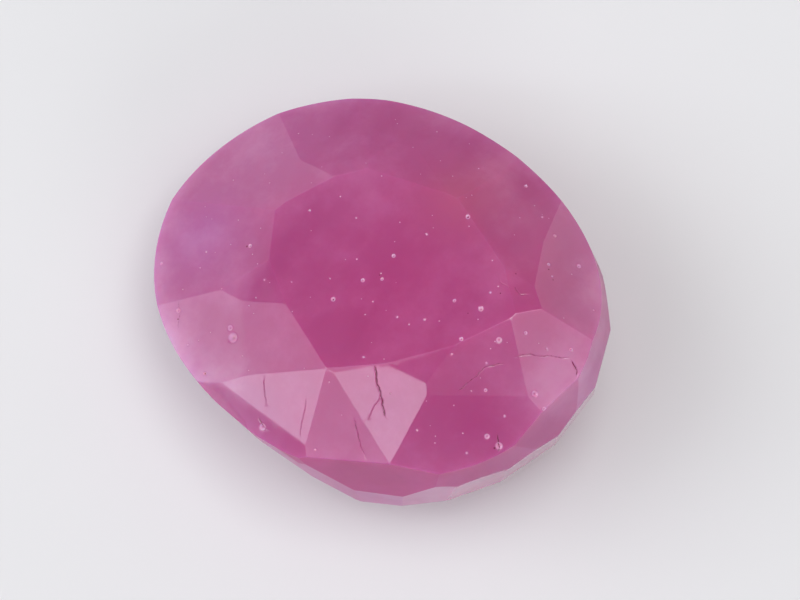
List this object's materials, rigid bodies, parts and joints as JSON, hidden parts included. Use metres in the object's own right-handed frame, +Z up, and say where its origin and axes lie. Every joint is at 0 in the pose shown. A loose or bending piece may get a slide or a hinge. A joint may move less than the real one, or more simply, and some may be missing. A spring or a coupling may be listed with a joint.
{
  "type": "cut oval ruby",
  "caption": "Loose faceted oval ruby with a flat table, a sloping crown, an uneven girdle and a deep stepped pavilion, lying on one pavilion facet.",
  "frame": {"origin": "on the ground, under the middle of the stone's bounding box as it lies", "axes": "+Z up from the resting facet; +X along the stone's length, towards the raised end of the girdle"},
  "size_m": [0.0124, 0.01, 0.0071],
  "materials": {
    "ruby": "polished, worn by handling, milky inside"
  },
  "bodies": {
    "root": {"ruby": "ruby"}
  },
  "joints": []
}
